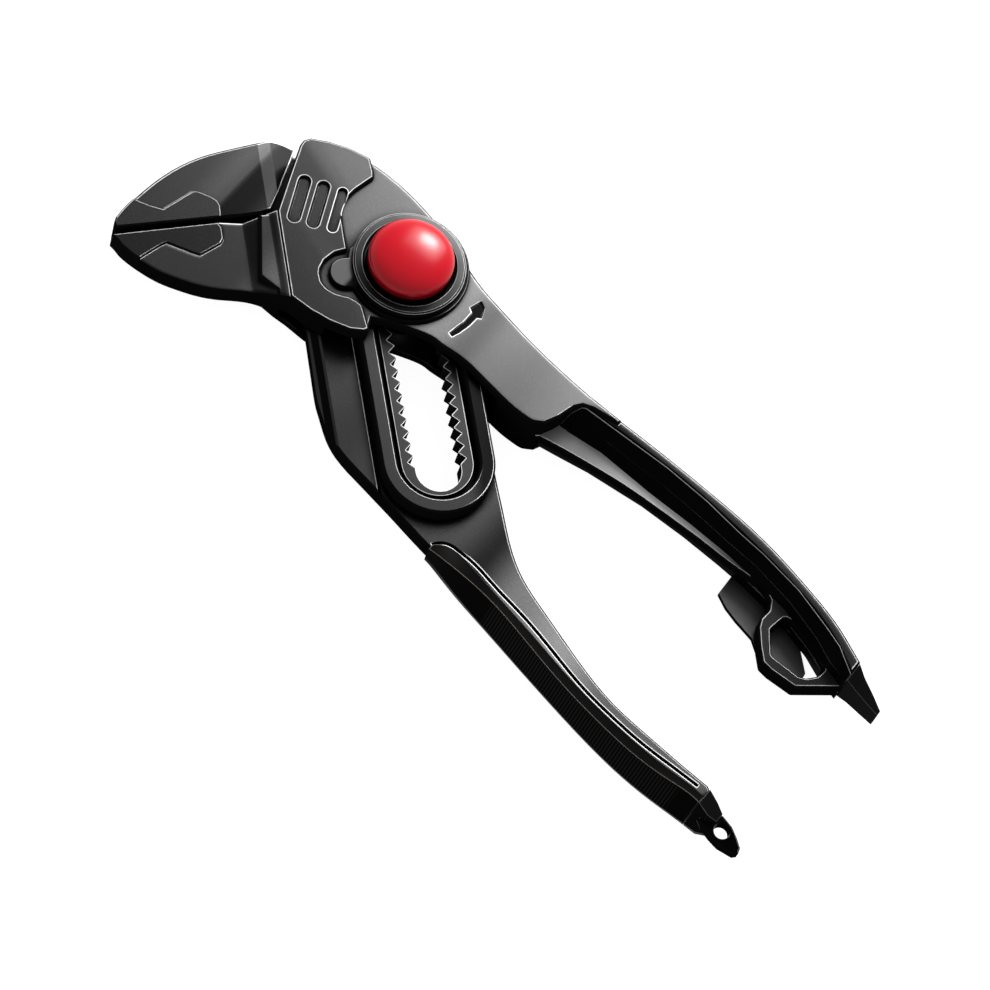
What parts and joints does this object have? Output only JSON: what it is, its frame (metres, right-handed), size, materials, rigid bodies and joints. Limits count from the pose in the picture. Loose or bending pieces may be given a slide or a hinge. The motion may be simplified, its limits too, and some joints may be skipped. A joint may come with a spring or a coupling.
{
  "type": "water_pump_pliers",
  "caption": "Water pump pliers: slotted arm with toothed slot, push-button adjuster, offset serrated jaws, sleeved handles, one with a finger loop, the other with a lanyard eye",
  "frame": {"origin": "the pivot axis where it meets the back face the tool rests on", "axes": "+X runs from the pivot to the handles along the tool, +Z comes out of the face with the button, +Y completes the frame toward the side of the handle with the finger loop"},
  "size_m": [0.2528, 0.0971, 0.0294],
  "materials": {
    "arm_steel": "dark satin forged steel, ground edges bright",
    "body_steel": "dark satin forged steel, ground edges bright",
    "head_steel": "dark satin steel plate",
    "jaw_steel": "hardened steel, fine ground",
    "liner_steel": "machined steel",
    "bright_steel": "bright machined steel",
    "blade_steel": "light ground steel",
    "grip_plastic": "black moulded plastic, half gloss",
    "housing_black": "black satin paint",
    "bezel_grey": "satin grey steel",
    "button_red": "glossy red plastic",
    "backing_dark": "dark satin paint"
  },
  "bodies": {
    "slotted_arm_body": {"slotted_arm_with_upper_jaw": "arm_steel", "upper_jaw_insert": "jaw_steel", "slot_rim": "arm_steel", "toothed_slot_liner": "liner_steel", "left_grip_sleeve": "grip_plastic", "left_handle_end_cap": "grip_plastic", "lanyard_lug": "arm_steel"},
    "adjuster_pin_body": {"pivot_pin": "bright_steel", "toothed_lock_block": "bright_steel", "pivot_rear_screw": "bright_steel", "pin_retaining_ring": "bright_steel", "button_return_spring": "bright_steel"},
    "push_button_body": {"push_button_cap": "button_red", "push_button_stem": "bright_steel"},
    "box_handle_body": {"box_body_with_lower_jaw": "body_steel", "rear_cheek_plate": "body_steel", "rear_cheek_screws": "bright_steel", "head_cover_plate": "head_steel", "head_plate_dowels": "bright_steel", "lower_jaw_insert": "jaw_steel", "button_housing": "housing_black", "button_bezel_ring": "bezel_grey", "right_grip_sleeve": "grip_plastic", "finger_loop_plate": "blade_steel", "right_handle_end_cap": "grip_plastic", "loop_backing_plate": "backing_dark", "backing_plate_rivets": "bright_steel"}
  },
  "joints": [
    {"name": "adjuster_slot_slide", "type": "slide", "parent": "slotted_arm_body", "child": "adjuster_pin_body", "axis": [0.7314, -0.682, 0], "range_m": [0, 0.0494]},
    {"name": "jaw_hinge", "type": "hinge", "parent": "adjuster_pin_body", "child": "box_handle_body", "pos_m": [0, 0, 0], "axis": [0, 0, 1], "range_deg": [-1, 24]},
    {"name": "button_press", "type": "slide", "parent": "adjuster_pin_body", "child": "push_button_body", "axis": [0, 0, -1], "range_m": [0, 0.0025], "stiffness_N_per_m": 800, "springref_m": -0.002, "deforming": ["button_return_spring"]}
  ]
}
